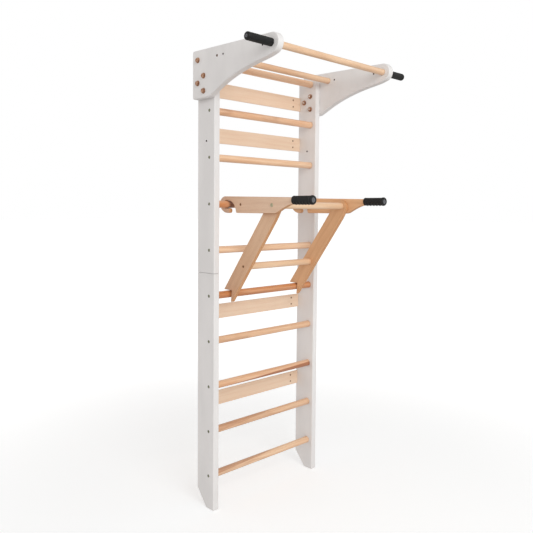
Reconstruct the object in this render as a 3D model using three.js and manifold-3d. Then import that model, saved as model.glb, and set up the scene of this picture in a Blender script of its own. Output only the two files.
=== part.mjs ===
// Wall bars (a wall ladder) with a top pull-up bracket and a hook-on dip station.
// Millimetres, +Z up. Origin: on the floor, under the middle of the whole object, so
// midway between the two uprights and WALL_Y in front of the wall. +X is the user's
// right when facing the wall, +Y points into the wall. The pieces are drawn from the
// wall plane (Y = 0 at the back faces of the uprights, everything towards -Y), and the
// group that holds them is moved to WALL_Y. Points and centres are [y, z] pairs, and
// every paired piece is drawn on the right and mirrored.
import * as THREE from 'three';
import * as BufferGeometryUtils from 'three/addons/utils/BufferGeometryUtils.js';
import Module from 'manifold-3d';

const wasm = await Module();
wasm.setup();

// ---------------------------------------------------------------- driving dimensions
const GAP = 0.3;               // clearance kept between touching pieces
const HOLE_FIT = 0.4;          // a round hole's radius over that of the piece in it
const OVERCUT = 5;             // how far a cutter runs past the face it enters by
const END_ROOM = 1;            // space left in a grip past the end of its core or tongue

const BAR_SEG = 28;            // facets of bars and their housings
const SMALL_SEG = 12;          // facets of screws, bolts and their holes
const DOWEL_SEG = 16;

// uprights
const WIDTH = 670;             // over the uprights' outer faces
const BOARD = 30;              // thickness of the uprights
const DEPTH = 114;
const HEIGHT = 1976;
const SPLIT_Z = 1046;          // joint between lower and upper halves
const SKIRT_Y = 64;            // skirting-board cut-out at the back of the feet
const SKIRT_Z = 74;
const UPRIGHT_OUT = WIDTH / 2;
const UPRIGHT_IN = UPRIGHT_OUT - BOARD;
const JOINT_DOWEL_R = 6;
const JOINT_DOWEL_LEN = 60;
const JOINT_DOWELS = [['back', -34], ['front', -80]];  // name, y
const ACCESSORY_HOLE = [-59, 1617];
const ACCESSORY_HOLE_R = 3.5;

// rungs, counted from the top
const RUNG_R = 16;
const RUNG_Y = -77.7;
const RUNG_Z0 = 146;           // lowest rung
const RUNG_PITCH = 200;
const RUNG_COUNT = 10;
const HOUSING = 12;            // depth of the rung housings in the uprights
const rungZ = (i) => RUNG_Z0 + (RUNG_COUNT - i) * RUNG_PITCH;

// wall slats, let into the back of the uprights
const SLAT_T = 8;
const SLAT_LET_IN = 12;
const SLATS = [[1821, 1887], [1619, 1685], [826, 892], [426, 492]];  // lower and upper edge
const SLAT_SCREW_X = 255;
const SLAT_SCREW_HOLE_R = 2.6;

// pull-up brackets
const BRACKET_T = 30;
const BRACKET_TOP = 2000;
const BRACKET_LOW = 1795;
const BRACKET_CORNER_R = 9;    // the two rear corners
const BRACKET_IN = UPRIGHT_OUT + GAP;
const BRACKET_OUT = UPRIGHT_OUT + BRACKET_T;
const NOSE = [-487, 1949];     // pull-up bar axis
const NOSE_R = 39;
const BAR_R = 14;
const REAR_BAR = [-165, 1956];
const SPARE_HOLES = [[-205, 1956], [-439, 1949]];
const SPARE_HOLE_R = 3;
const BAR_LET_IN = 8;
const BAR_HALF = BRACKET_IN + BAR_LET_IN - GAP;  // half the length of the two bars

// fasteners
const BOLTS = [[-38, 1957], [-77, 1887], [-37, 1860], [-77, 1824]];
const BOLT_R = 5;              // M10
const BOLT_HEX_R = 9.8;        // over the corners
const BOLT_FLANGE_R = 12;
const STUD_R = 4;              // dowel screws and pivot bolts
const REAR_SCREW_R = 3;
const PLY_SCREW_R = 2.5;
const SCREW_HEAD_R = 5;
const STUD_REACH = 38;         // how far studs and rear bar screws reach into a bar
const BAR_HOLE_DEPTH = 40;
const CROSS_HOLE_DEPTH = 42;
const PLY_SCREW_REACH = 55;    // from the outer face of the plywood

// grips
const CORE_R = 12;             // beech cores inside the side grips
const CORE_IN = BRACKET_OUT - BAR_LET_IN + GAP;
const SIDE_GRIP_LEN = 126;
const SIDE_GRIP_R = 15.6;
const DIP_GRIP_LEN = 106;
const DIP_GRIP_R = 17.2;
const GRIP_FILL_SHORT = 6;     // core and tongue stop this far short of the grip's length

// dip station arms
const PLY_T = 18;
const ARM_IN = 221;
const ARM_OUT = ARM_IN + PLY_T;
const ARM_TOP_REAR = 1381;
const ARM_TOP_FRONT = 1374;
const ARM_LOW = 1308.5;
const ARM_NOSE_Y = -483;
const HOOK_R = 17.5;           // rear pocket round the rung
const HOOK_RUNG = 4;           // the station hangs on this rung
const HANDLE_Z = 1362.5;
const TONGUE_H = 22;
const TONGUE_CHAMFER = 4;

// dip station struts
const REST_RUNG = 6;           // the struts bear on this rung
const PIVOT = [-367, 1342.5];
const STRUT_IN = 202.8;
const STRUT_OUT = STRUT_IN + PLY_T;
const STRUT_R = 36.8;          // half the width of the struts
const STRUT_HEAD_R = 32.5;     // the rounded head, its centre a little below the pivot
const STRUT_HEAD_DROP = 8;
const STRUT_SHOULDER = 50;     // from the pivot down to the full width
const STRUT_FLARE = 5.9;       // degrees, where the sides run from the head to the full width
const STRUT_LEAN = 36.27;      // degrees from vertical
const STRUT_TIP = [-90.6, 912];

// dip station cross bars
const CROSS_R = 15;
const REAR_CROSS = [-174, 1345];
const LOW_CROSS = [-173.5, 1075.5];

// half the overall depth: the wall plane, seen from the origin
const WALL_Y = (DIP_GRIP_LEN + GAP - ARM_NOSE_Y) / 2;

const LOOK = {
  paint: { color: 0xe9e7e4, roughness: 0.45, metalness: 0 },
  beech: { color: 0xdca878, roughness: 0.5, metalness: 0 },
  slat: { color: 0xf1ceb2, roughness: 0.55, metalness: 0 },
  ply: { color: 0xc8a07d, roughness: 0.55, metalness: 0 },
  dowel: { color: 0xe6bd94, roughness: 0.5, metalness: 0 },
  rubber: { color: 0x2b2a2a, roughness: 0.7, metalness: 0 },
  bolt: { color: 0x7a6250, roughness: 0.4, metalness: 0.9 },
  steel: { color: 0x8d8f88, roughness: 0.35, metalness: 0.9 },
  dark: { color: 0x4a382c, roughness: 0.5, metalness: 0.6 },
};

// ---------------------------------------------------------------- solids
// a closed geometry becomes a solid for cutting and joining
function solid(geometry) {
  const bare = geometry.index ? geometry.toNonIndexed() : geometry.clone();
  bare.deleteAttribute('normal');
  bare.deleteAttribute('uv');
  const merged = BufferGeometryUtils.mergeVertices(bare, 1e-4);
  return new wasm.Manifold(new wasm.Mesh({
    numProp: 3,
    vertProperties: new Float32Array(merged.attributes.position.array),
    triVerts: new Uint32Array(merged.index.array),
  }));
}

function geometryOf(piece) {
  const data = piece.getMesh();
  const positions = new Float32Array(data.vertProperties);
  const geometry = new THREE.BufferGeometry();
  geometry.setAttribute('position', new THREE.BufferAttribute(positions, 3));
  geometry.setIndex(new THREE.BufferAttribute(new Uint32Array(data.triVerts), 1));
  geometry.computeVertexNormals();
  return geometry;
}

const cut = (piece, ...tools) => tools.reduce((rest, tool) => rest.subtract(tool), piece);
const join = (piece, ...parts) => parts.reduce((whole, part) => whole.add(part), piece);

// points along an arc in the (Y, Z) plane, angles in degrees from +Y towards +Z
function arc([y, z], radius, start, end, steps) {
  const points = [];
  for (let i = 0; i <= steps; i++) {
    const angle = (start + (end - start) * i / steps) * Math.PI / 180;
    points.push([y + radius * Math.cos(angle), z + radius * Math.sin(angle)]);
  }
  return points;
}

// an outline of [y, z] points, swept along X
const YZ_TO_WORLD = new THREE.Matrix4().makeBasis(
  new THREE.Vector3(0, 1, 0), new THREE.Vector3(0, 0, 1), new THREE.Vector3(1, 0, 0));
function plate(points, fromX, toX) {
  const shape = new THREE.Shape();
  shape.moveTo(...points[0]);
  for (const point of points.slice(1)) shape.lineTo(...point);
  shape.closePath();
  const geometry = new THREE.ExtrudeGeometry(shape, {
    depth: toX - fromX, bevelEnabled: false, steps: 1,
  });
  geometry.applyMatrix4(YZ_TO_WORLD);
  geometry.translate(fromX, 0, 0);
  return solid(geometry);
}

// a round bar along X
function rod(radius, fromX, toX, [y, z], segments = BAR_SEG) {
  const geometry = new THREE.CylinderGeometry(radius, radius, toX - fromX, segments);
  geometry.rotateZ(-Math.PI / 2);
  geometry.translate((fromX + toX) / 2, y, z);
  return solid(geometry);
}

const thinRod = (radius, fromX, toX, centre) => rod(radius, fromX, toX, centre, SMALL_SEG);

// the cutter for a hole through a board that lies between two X values
function through(radius, fromX, toX, centre, segments = SMALL_SEG) {
  return rod(radius, fromX - OVERCUT, toX + OVERCUT, centre, segments);
}

function box(fromX, toX, fromY, toY, fromZ, toZ) {
  const geometry = new THREE.BoxGeometry(toX - fromX, toY - fromY, toZ - fromZ);
  geometry.translate((fromX + toX) / 2, (fromY + toY) / 2, (fromZ + toZ) / 2);
  return solid(geometry);
}

// a round bar centred on X = 0, with a screw hole in each end
function drilledBar(radius, half, centre, holeRadius, holeDepth) {
  return cut(
    rod(radius, -half, half, centre),
    thinRod(holeRadius, -half - OVERCUT, holeDepth - half, centre),
    thinRod(holeRadius, half - holeDepth, half + OVERCUT, centre));
}

// A closed rubber sleeve with a rolled rim at the mouth, along the local Y axis from the
// mouth at 0, swelling near the closed end.
function sleeve(radius, length, swell) {
  const profile = [                              // radius, y
    [0, 0], [radius - 0.6, 0], [radius + 0.4, 1.4], [radius + 0.4, 4.5], [radius, 6.5],
    [radius, length - 14], [radius + swell * 0.7, length - 10.5],
    [radius + swell, length - 7], [radius + swell * 0.7, length - 3.5],
    [radius - 2, length], [0, length],
  ].map(([x, y]) => new THREE.Vector2(x, y));
  return new THREE.LatheGeometry(profile, 24);
}

// ---------------------------------------------------------------- placing
const group = new THREE.Group();
group.position.set(0, WALL_Y, 0);

function add(name, piece, look) {
  const mesh = new THREE.Mesh(geometryOf(piece), new THREE.MeshStandardMaterial(look));
  mesh.name = name;
  group.add(mesh);
}

function addPair(name, piece, look) {
  add('right_' + name, piece, look);
  add('left_' + name, piece.mirror([1, 0, 0]), look);
}

// ---------------------------------------------------------------- uprights
// an upright dowel centred on the joint between the halves
function jointDowel(radius, length, y) {
  const geometry = new THREE.CylinderGeometry(radius, radius, length, DOWEL_SEG);
  geometry.rotateX(Math.PI / 2);
  geometry.translate((UPRIGHT_IN + UPRIGHT_OUT) / 2, y, SPLIT_Z);
  return solid(geometry);
}

// One half of an upright, cut for the rungs and slats that lie on its side of the joint:
// blind housings for the rungs, shallow rebates at the back for the slats.
function uprightHalf(points, holds) {
  const rungHeights = Array.from({ length: RUNG_COUNT }, (_, i) => rungZ(i + 1));
  const housings = rungHeights.filter(holds).map((z) =>
    rod(RUNG_R + HOLE_FIT, UPRIGHT_IN - OVERCUT, UPRIGHT_IN + HOUSING, [RUNG_Y, z]));
  const rebates = SLATS.filter(([low]) => holds(low)).map(([low, high]) =>
    box(UPRIGHT_IN - OVERCUT, UPRIGHT_IN + SLAT_LET_IN + GAP,
      -SLAT_T - GAP, OVERCUT, low - GAP, high + GAP));
  const dowelHoles = JOINT_DOWELS.map(([, y]) =>
    jointDowel(JOINT_DOWEL_R + GAP, JOINT_DOWEL_LEN + 1, y));
  return cut(plate(points, UPRIGHT_IN, UPRIGHT_OUT), ...housings, ...rebates, ...dowelHoles);
}

// the foot is cut away behind for a skirting board
function lowerUpright() {
  const top = SPLIT_Z - GAP / 2;
  return uprightHalf(
    [[-DEPTH, 0], [-SKIRT_Y, 0], [0, SKIRT_Z], [0, top], [-DEPTH, top]],
    (z) => z < SPLIT_Z);
}

function upperUpright() {
  const base = SPLIT_Z + GAP / 2;
  const half = uprightHalf(
    [[-DEPTH, base], [0, base], [0, HEIGHT], [-DEPTH, HEIGHT]],
    (z) => z >= SPLIT_Z);
  return cut(half,
    ...BOLTS.map((bolt) => through(BOLT_R + HOLE_FIT, UPRIGHT_IN, UPRIGHT_OUT, bolt)),
    through(ACCESSORY_HOLE_R, UPRIGHT_IN, UPRIGHT_OUT, ACCESSORY_HOLE));
}

addPair('upright_lower', lowerUpright(), LOOK.paint);
addPair('upright_upper', upperUpright(), LOOK.paint);
for (const [place, y] of JOINT_DOWELS) {
  addPair('joint_dowel_' + place, jointDowel(JOINT_DOWEL_R, JOINT_DOWEL_LEN, y), LOOK.dowel);
}

// ---------------------------------------------------------------- rungs and slats
for (let i = 1; i <= RUNG_COUNT; i++) {
  const half = UPRIGHT_IN + HOUSING - GAP;
  const rung = rod(RUNG_R, -half, half, [RUNG_Y, rungZ(i)]);
  add('rung_' + String(i).padStart(2, '0'), rung, LOOK.beech);
}

function slatScrewHole(x, z) {
  const geometry = new THREE.CylinderGeometry(SLAT_SCREW_HOLE_R, SLAT_SCREW_HOLE_R, 30, 8);
  geometry.translate(x, 0, z);
  return solid(geometry);
}

// a slat with two screw holes at each end, for the wall
function wallSlat(low, high) {
  const half = UPRIGHT_IN + SLAT_LET_IN;
  const holes = [-SLAT_SCREW_X, SLAT_SCREW_X].flatMap((x) =>
    [high - 16, low + 18].map((z) => slatScrewHole(x, z)));
  return cut(box(-half, half, -SLAT_T, 0, low, high), ...holes);
}
SLATS.forEach(([low, high], i) => add('wall_slat_' + (i + 1), wallSlat(low, high), LOOK.slat));

// ---------------------------------------------------------------- pull-up brackets
// from the top rear corner, round the nose, then back along the underside
const BRACKET_OUTLINE = [
  ...arc([-BRACKET_CORNER_R, BRACKET_TOP - BRACKET_CORNER_R], BRACKET_CORNER_R, 0, 88.7, 5),
  ...arc(NOSE, NOSE_R, 91.3, 250, 18),
  [-470, 1904.0], [-437, 1898.1], [-396, 1891.6], [-352, 1883.4], [-312, 1874.3],
  [-276, 1864.4], [-240, 1853.0], [-212, 1842.6], [-190, 1833.8], [-172, 1825.8],
  [-157, 1818.7], [-143, 1811.9], [-131, 1806.0], [-120, 1800.7], [-112, 1797.3],
  [-106, 1795.5], [-99, BRACKET_LOW],
  ...arc([-BRACKET_CORNER_R, BRACKET_LOW + BRACKET_CORNER_R], BRACKET_CORNER_R, 270, 360, 5),
];

// a board on the outer face of each upright, reaching forward to a round nose
function bracket() {
  const barHousing = (centre) =>
    rod(BAR_R + HOLE_FIT, BRACKET_IN - OVERCUT, BRACKET_IN + BAR_LET_IN, centre);
  return cut(
    plate(BRACKET_OUTLINE, BRACKET_IN, BRACKET_OUT),
    ...BOLTS.map((bolt) => through(BOLT_R + HOLE_FIT, BRACKET_IN, BRACKET_OUT, bolt)),
    ...SPARE_HOLES.map((hole) => through(SPARE_HOLE_R, BRACKET_IN, BRACKET_OUT, hole, 10)),
    barHousing(NOSE),
    barHousing(REAR_BAR),
    // housing for the side grip's core, on the outer face
    rod(CORE_R + HOLE_FIT, BRACKET_OUT - BAR_LET_IN, BRACKET_OUT + OVERCUT, NOSE),
    thinRod(STUD_R + HOLE_FIT, BRACKET_IN, BRACKET_OUT, NOSE),
    // the rear bar's screw goes through, its head sunk in a counterbore
    thinRod(REAR_SCREW_R + HOLE_FIT, BRACKET_IN, BRACKET_OUT, REAR_BAR),
    thinRod(SCREW_HEAD_R + HOLE_FIT, BRACKET_OUT - 6, BRACKET_OUT + OVERCUT, REAR_BAR));
}

// the beech core of a side grip, let into the bracket
function sideGripCore() {
  return cut(
    rod(CORE_R, CORE_IN, BRACKET_OUT + SIDE_GRIP_LEN - GRIP_FILL_SHORT, NOSE, 24),
    thinRod(STUD_R + HOLE_FIT, CORE_IN - OVERCUT, CORE_IN + BAR_HOLE_DEPTH, NOSE));
}

function rearBarScrew() {
  return join(
    thinRod(REAR_SCREW_R, BAR_HALF - STUD_REACH, BRACKET_OUT - 4, REAR_BAR),
    thinRod(SCREW_HEAD_R, BRACKET_OUT - 5.6, BRACKET_OUT - 2, REAR_BAR));
}

// hexagon head and washer flange outside, nut and flange inside
function bracketBolt(centre) {
  const hexagon = (fromX, toX) => rod(BOLT_HEX_R, fromX, toX, centre, 6);
  const flange = (fromX, toX) => rod(BOLT_FLANGE_R, fromX, toX, centre, 16);
  return join(
    thinRod(BOLT_R, UPRIGHT_IN - 12, BRACKET_OUT + 1, centre),
    flange(BRACKET_OUT + GAP, BRACKET_OUT + 2.6),
    hexagon(BRACKET_OUT + 2, BRACKET_OUT + 9),
    flange(UPRIGHT_IN - 2.6, UPRIGHT_IN - GAP),
    hexagon(UPRIGHT_IN - 10, UPRIGHT_IN - 2));
}

// a straight sleeve over the core, with a small hole through its closed end
function sideGrip() {
  const geometry = sleeve(SIDE_GRIP_R, SIDE_GRIP_LEN, 0.3);
  geometry.rotateZ(-Math.PI / 2);                // local +Y becomes +X
  geometry.translate(BRACKET_OUT + GAP, ...NOSE);
  const gripEnd = BRACKET_OUT + SIDE_GRIP_LEN;
  const boreEnd = gripEnd - GRIP_FILL_SHORT + END_ROOM;
  return cut(
    solid(geometry),
    rod(CORE_R + HOLE_FIT, BRACKET_OUT - OVERCUT, boreEnd, NOSE),
    thinRod(3.2, BRACKET_OUT, gripEnd + OVERCUT, NOSE));
}

addPair('bracket', bracket(), LOOK.paint);
add('pull_up_bar',
  drilledBar(BAR_R, BAR_HALF, NOSE, STUD_R + HOLE_FIT, BAR_HOLE_DEPTH), LOOK.beech);
add('rear_bar',
  drilledBar(BAR_R, BAR_HALF, REAR_BAR, REAR_SCREW_R + HOLE_FIT, BAR_HOLE_DEPTH), LOOK.beech);
addPair('side_grip_core', sideGripCore(), LOOK.dowel);
// a double-ended screw joins the pull-up bar, the bracket and the core
addPair('dowel_screw',
  thinRod(STUD_R, BAR_HALF - STUD_REACH, CORE_IN + STUD_REACH, NOSE), LOOK.steel);
addPair('rear_bar_screw', rearBarScrew(), LOOK.dark);
BOLTS.forEach((bolt, i) => addPair('bracket_bolt_' + (i + 1), bracketBolt(bolt), LOOK.bolt));
addPair('side_grip', sideGrip(), LOOK.rubber);

// ---------------------------------------------------------------- dip station
const TONGUE_TOP = HANDLE_Z + TONGUE_H / 2;
const TONGUE_LOW = HANDLE_Z - TONGUE_H / 2;
const TONGUE_END = ARM_NOSE_Y - DIP_GRIP_LEN + GRIP_FILL_SHORT;

// from the front of the top edge, round the tongue, then back to the hook
const ARM_OUTLINE = [
  [ARM_NOSE_Y, ARM_TOP_FRONT],
  [ARM_NOSE_Y, TONGUE_TOP],
  [TONGUE_END + TONGUE_CHAMFER, TONGUE_TOP],
  [TONGUE_END, TONGUE_TOP - TONGUE_CHAMFER],
  [TONGUE_END, TONGUE_LOW + TONGUE_CHAMFER],
  [TONGUE_END + TONGUE_CHAMFER, TONGUE_LOW],
  [ARM_NOSE_Y, TONGUE_LOW],
  // underside
  [ARM_NOSE_Y, 1346],
  [-466, 1342.6], [-452, 1337.6], [-438, 1331.8], [-426, 1326.4], [-414, 1320.4],
  [-405, 1315.6], [-397, 1311.6], [-388, 1309.2], [-378, ARM_LOW],
  [-149.5, ARM_LOW], [-145, 1310], [-142.5, 1314],
  // front wall of the slot, sweeping up and back over the rung
  [-140.6, 1323], [-137, 1332.5], [-131.5, 1341.5], [-124, 1349.5], [-115.5, 1355.8],
  [-107, 1360], [-97, 1362.6], [-87, 1363.5],
  // rear pocket round the rung
  ...arc([RUNG_Y, rungZ(HOOK_RUNG)], HOOK_R, 96, -96, 18),
  // upper face and rounded tip of the jaw under the rung
  [-88, 1328.4], [-95, 1328.2],
  [-99, 1326], [-101.4, 1321.5], [-101.6, 1316], [-99.6, 1311.4], [-95.4, 1308.8], [-89, 1308],
  // underside and back of the hook
  [-72, 1309.2], [-60, 1313.6], [-48, 1321.4], [-39.5, 1331], [-34.5, 1343], [-34.5, 1354],
  [-39, 1365], [-47, 1373.6], [-57, 1379], [RUNG_Y + 10, ARM_TOP_REAR],
];

// a rounded head at the pivot, parallel sides, a notch that sits on the rung below
function strutOutline() {
  const lean = STRUT_LEAN * Math.PI / 180;
  const along = [Math.sin(lean), -Math.cos(lean)];     // down and back
  const across = [along[1], -along[0]];                // forward and down
  const pointAt = (offset, distance) => [0, 1].map((axis) =>
    PIVOT[axis] + along[axis] * distance + across[axis] * offset);
  // the point at height z on a line parallel to the strut
  const pointAtHeight = (offset, z) =>
    pointAt(offset, (z - PIVOT[1] - across[1] * offset) / along[1]);
  const headAngle = STRUT_LEAN - 180;                  // direction of `across`
  const rungTop = rungZ(REST_RUNG) + RUNG_R;
  return [
    ...arc(pointAt(0, STRUT_HEAD_DROP), STRUT_HEAD_R,
      headAngle - STRUT_FLARE, headAngle - 180 + STRUT_FLARE, 18),
    pointAt(-STRUT_R, STRUT_SHOULDER),
    pointAtHeight(-STRUT_R, rungTop + 2.6),
    [RUNG_Y - RUNG_R - 2.3, rungTop + 1.8],
    STRUT_TIP,
    pointAtHeight(STRUT_R, STRUT_TIP[1]),
    pointAt(STRUT_R, STRUT_SHOULDER),
  ];
}

// a plywood board with a pivot hole and a counterbored screw hole for a cross bar
function plyBoard(points, inner, screwCentre) {
  const outer = inner + PLY_T;
  return cut(
    plate(points, inner, outer),
    through(STUD_R + HOLE_FIT, inner, outer, PIVOT),
    through(PLY_SCREW_R + HOLE_FIT, inner, outer, screwCentre),
    thinRod(SCREW_HEAD_R + HOLE_FIT, outer - 2.6, outer + OVERCUT, screwCentre));
}

function addCrossBar(name, boardIn, centre, screwRadius) {
  const bar = drilledBar(
    CROSS_R, boardIn - GAP, centre, screwRadius + HOLE_FIT, CROSS_HOLE_DEPTH);
  add(name, bar, LOOK.dowel);
}

// through arm and strut into the front cross bar
function pivotBolt() {
  return join(
    thinRod(STUD_R, STRUT_IN - STUD_REACH, ARM_OUT + 1, PIVOT),
    rod(8, ARM_OUT + GAP, ARM_OUT + 3, PIVOT, 18));
}

// a screw with its head sunk in the outer face of the plywood
function plyScrew(outer, centre) {
  return join(
    thinRod(PLY_SCREW_R, outer - PLY_SCREW_REACH, outer - 1, centre),
    thinRod(SCREW_HEAD_R, outer - 2.3, outer - 0.2, centre));
}

// a rubber sleeve over the flat tongue of the arm
function dipGrip() {
  const geometry = sleeve(DIP_GRIP_R, DIP_GRIP_LEN, 1.5);
  geometry.rotateX(Math.PI);                     // local +Y becomes -Y
  geometry.translate((ARM_IN + ARM_OUT) / 2, ARM_NOSE_Y - GAP, HANDLE_Z);
  return cut(
    solid(geometry),
    box(ARM_IN - GAP, ARM_OUT + GAP, TONGUE_END - END_ROOM, ARM_NOSE_Y + OVERCUT,
      TONGUE_LOW - GAP, TONGUE_TOP + GAP));
}

addPair('dip_arm', plyBoard(ARM_OUTLINE, ARM_IN, REAR_CROSS), LOOK.ply);
addPair('dip_strut', plyBoard(strutOutline(), STRUT_IN, LOW_CROSS), LOOK.ply);
addCrossBar('dip_front_cross_bar', STRUT_IN, PIVOT, STUD_R);
addCrossBar('dip_rear_cross_bar', ARM_IN, REAR_CROSS, PLY_SCREW_R);
addCrossBar('dip_lower_cross_bar', STRUT_IN, LOW_CROSS, PLY_SCREW_R);
addPair('dip_pivot_bolt', pivotBolt(), LOOK.steel);
addPair('dip_arm_screw', plyScrew(ARM_OUT, REAR_CROSS), LOOK.dark);
addPair('dip_strut_screw', plyScrew(STRUT_OUT, LOW_CROSS), LOOK.dark);
addPair('dip_grip', dipGrip(), LOOK.rubber);

const root = new THREE.Group();
root.add(group);
export default root;
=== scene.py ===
"""Wall bars with a pull-up bracket and a hook-on dip station.

Shapes are drawn in millimetres from the wall plane: Y = 0 at the back faces of the uprights,
the room towards -Y, the left side towards -X and the floor at Z = 0. They are moved to the
shared frame, in metres, when each mesh is made.
"""
import math
import random
from contextlib import contextmanager

import bmesh
import bpy
from mathutils import Matrix, Vector
from mathutils.geometry import delaunay_2d_cdt


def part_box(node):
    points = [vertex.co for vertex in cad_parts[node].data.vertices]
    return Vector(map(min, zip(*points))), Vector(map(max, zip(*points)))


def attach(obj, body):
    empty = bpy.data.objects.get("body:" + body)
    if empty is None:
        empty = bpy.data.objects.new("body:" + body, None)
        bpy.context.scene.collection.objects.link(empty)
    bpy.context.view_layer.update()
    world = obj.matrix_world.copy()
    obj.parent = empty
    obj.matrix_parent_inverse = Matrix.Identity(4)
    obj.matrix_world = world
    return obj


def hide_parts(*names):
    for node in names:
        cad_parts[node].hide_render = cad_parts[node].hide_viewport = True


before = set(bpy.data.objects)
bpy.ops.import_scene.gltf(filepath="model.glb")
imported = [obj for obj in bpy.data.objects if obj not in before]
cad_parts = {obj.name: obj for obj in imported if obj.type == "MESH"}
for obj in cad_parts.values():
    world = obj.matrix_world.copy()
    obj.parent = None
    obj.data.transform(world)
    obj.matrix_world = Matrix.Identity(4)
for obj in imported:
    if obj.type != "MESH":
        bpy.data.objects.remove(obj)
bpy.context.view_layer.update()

# ------------------------------------------------------------------ sizes (mm)
WALL_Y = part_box("wall_slat_1")[1].y * 1000.0
LADDER, DIP = "wall_ladder", "dip_station"
SIDES = (("left", -1), ("right", 1))
GAP = 0.3                               # clearance between neighbouring pieces

# uprights, each split into a lower and an upper half
UPRIGHT_IN, UPRIGHT_OUT = 305.0, 335.0  # distance of the faces from the middle plane
DEPTH, HEIGHT, SPLIT = 114.0, 1976.0, 1046.0
SPLIT_GAP = 1.3
JOINT_BORES_Y = (-34.0, -80.0)
SIDE_HOLE = (-59, 1617)                 # Y, Z
FOOT_CUT_Y, FOOT_CUT_SLOPE = -64.0, 74.0 / 64.0

RUNG_R, RUNG_Y = 16.0, -77.7
RUNG_POCKET = 12.0
SLATS = [(1821, 1887), (1619, 1685), (826, 892), (426, 492)]    # bottom, top
SLAT_T = 8.0
SLAT_SCREW_X = 255.0

# pull-up brackets on the outer faces of the uprights
BRACKET_IN, BRACKET_OUT = UPRIGHT_OUT + GAP, UPRIGHT_OUT + 30.0
NOSE_Y, NOSE_Z, NOSE_R = -487.0, 1949.0, 39.0
BAR_R = 14.0
REAR_Y, REAR_Z = -165.0, 1956.0
BAR_HALF = BRACKET_IN + 7.7
BOLTS = [(-38, 1957), (-77, 1887), (-37, 1860), (-77, 1824)]    # Y, Z
SPARE_HOLES = [(-205, 1956), (-439, 1949)]                      # Y, Z
BOLT_HEX, WASHER_T = 17.0, 1.9
BOLT_BORE_R = 5.4

# dip station
ARM_T, ARM_X, STRUT_X = 18.0, 221.0, 202.8      # panel thickness, distances of the inner faces
ARM_MID = ARM_X + ARM_T / 2
PIVOT_Y, PIVOT_Z = -367.0, 1342.5
REAR_CROSS, LOW_CROSS = (-174.0, 1345.0), (-173.5, 1075.5)      # Y, Z
CROSS_R = 15.0
LEAN = math.radians(36.27)                      # of the strut, from upright
STRUT_R, HEAD_R, HEAD_DROP, FLARE = 36.8, 32.5, 8.0, 5.9
HANDLE_Z, ARM_NOSE = 1362.5, -483.0
SIDE_GRIP_R, DIP_GRIP_R = 15.6, 17.2


def rung_z(i):
    """Rung 1 is the highest"""
    return 146.0 + (10 - i) * 200.0


# ------------------------------------------------------------------ shader nodes
class Nodes:
    """Builds the nodes of a material or a world"""

    def __init__(self, owner, output):
        owner.use_nodes = True
        self.tree = owner.node_tree
        self.tree.nodes.clear()
        self.output = self.tree.nodes.new(output)

    def put(self, socket, value):
        if isinstance(value, bpy.types.NodeSocket):
            self.tree.links.new(value, socket)
            return
        if socket.type == "RGBA" and len(value) == 3:
            value = (*value, 1.0)
        socket.default_value = value

    def node(self, kind, inputs=None, out=0, **props):
        node = self.tree.nodes.new(kind)
        for key, value in props.items():
            setattr(node, key, value)
        for key, value in (inputs or {}).items():
            self.put(node.inputs[key], value)
        return node.outputs[out]

    def coords(self, kind="Object"):
        return self.node("ShaderNodeTexCoord", out=kind)

    def prop(self, name):
        """A custom property of the object"""
        return self.node("ShaderNodeAttribute", out="Fac",
                         attribute_type="OBJECT", attribute_name=name)

    def marked(self):
        return self.node("ShaderNodeAttribute", out="Fac",
                         attribute_type="GEOMETRY", attribute_name="mark")

    def camera_ray(self):
        return self.node("ShaderNodeLightPath", out="Is Camera Ray")

    def split(self, vector):
        x = self.node("ShaderNodeSeparateXYZ", {0: vector})
        return x.node.outputs[0], x.node.outputs[1], x.node.outputs[2]

    def calc(self, operation, first, second=0.0, third=0.0, clamp=False):
        return self.node("ShaderNodeMath", {0: first, 1: second, 2: third},
                         operation=operation, use_clamp=clamp)

    def plus(self, first, second, clamp=False):
        return self.calc("ADD", first, second, clamp=clamp)

    def minus(self, first, second):
        return self.calc("SUBTRACT", first, second)

    def times(self, first, second, clamp=False):
        return self.calc("MULTIPLY", first, second, clamp=clamp)

    def line(self, value, times, plus):
        return self.calc("MULTIPLY_ADD", value, times, plus)

    def size(self, value):
        return self.calc("ABSOLUTE", value)

    def map(self, vector, scale=(1, 1, 1), turn=(0, 0, 0)):
        return self.node("ShaderNodeMapping",
                         {"Vector": vector, "Scale": scale, "Rotation": turn})

    def noise(self, point, stretch, detail=2.0, rough=0.5):
        """Stretch is the number of noise cells per metre along each axis"""
        return self.node("ShaderNodeTexNoise", {
            "Vector": self.map(point, stretch), "Scale": 1.0, "Detail": detail,
            "Roughness": rough, "Distortion": 0.0})

    def ramp(self, value, over, to=(0.0, 1.0)):
        """A smooth step: the range `over` becomes the range `to`"""
        return self.node("ShaderNodeMapRange", dict(enumerate((value, *over, *to))),
                         interpolation_type="SMOOTHSTEP", clamp=True)

    def fleck(self, point, stretch, over):
        return self.ramp(self.noise(point, stretch, detail=1.0, rough=0.4), over=over)

    def mix(self, base, over, amount, share=None, blend="MIX"):
        if share is not None:
            amount = self.times(amount, share)
        return self.node("ShaderNodeMix", {"Factor": amount, 6: base, 7: over}, 2,
                         data_type="RGBA", blend_type=blend)

    def tint(self, color, amount, by):
        return self.mix(color, self.mix(color, by, 1.0, blend="MULTIPLY"), amount)


MATERIALS = {}


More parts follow.
